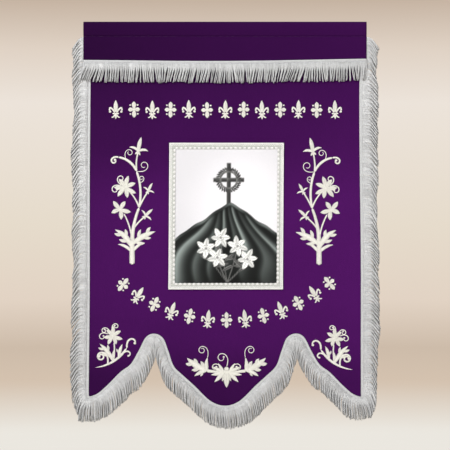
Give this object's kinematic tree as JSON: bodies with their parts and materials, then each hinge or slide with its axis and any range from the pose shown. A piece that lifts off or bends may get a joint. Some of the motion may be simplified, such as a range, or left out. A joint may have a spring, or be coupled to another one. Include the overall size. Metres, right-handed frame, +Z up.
{
  "type": "church banner",
  "caption": "Hanging cloth banner with a pole pocket along its top edge, a scalloped foot, fringed edges and a framed picture panel.",
  "frame": {"origin": "middle of the banner's top edge, where its pole pocket hangs on a pole", "axes": "+Z up along the banner's height, -Y the embroidered front, +X to the right as seen from the front"},
  "size_m": [0.7949, 0.0204, 1.0591],
  "materials": {
    "purple_cloth": "matt plain weave",
    "silver_fringe": "soft lustre of rayon strands",
    "picture_cloth": "printed satin",
    "white_braid": "woven braid"
  },
  "bodies": {
    "root": {"field_panel": "purple_cloth", "heading_band": "purple_cloth", "top_fringe": "silver_fringe", "left_fringe": "silver_fringe", "right_fringe": "silver_fringe", "bottom_fringe": "silver_fringe", "picture_panel": "picture_cloth", "braid_top": "white_braid", "braid_bottom": "white_braid", "braid_left": "white_braid", "braid_right": "white_braid"}
  },
  "joints": []
}
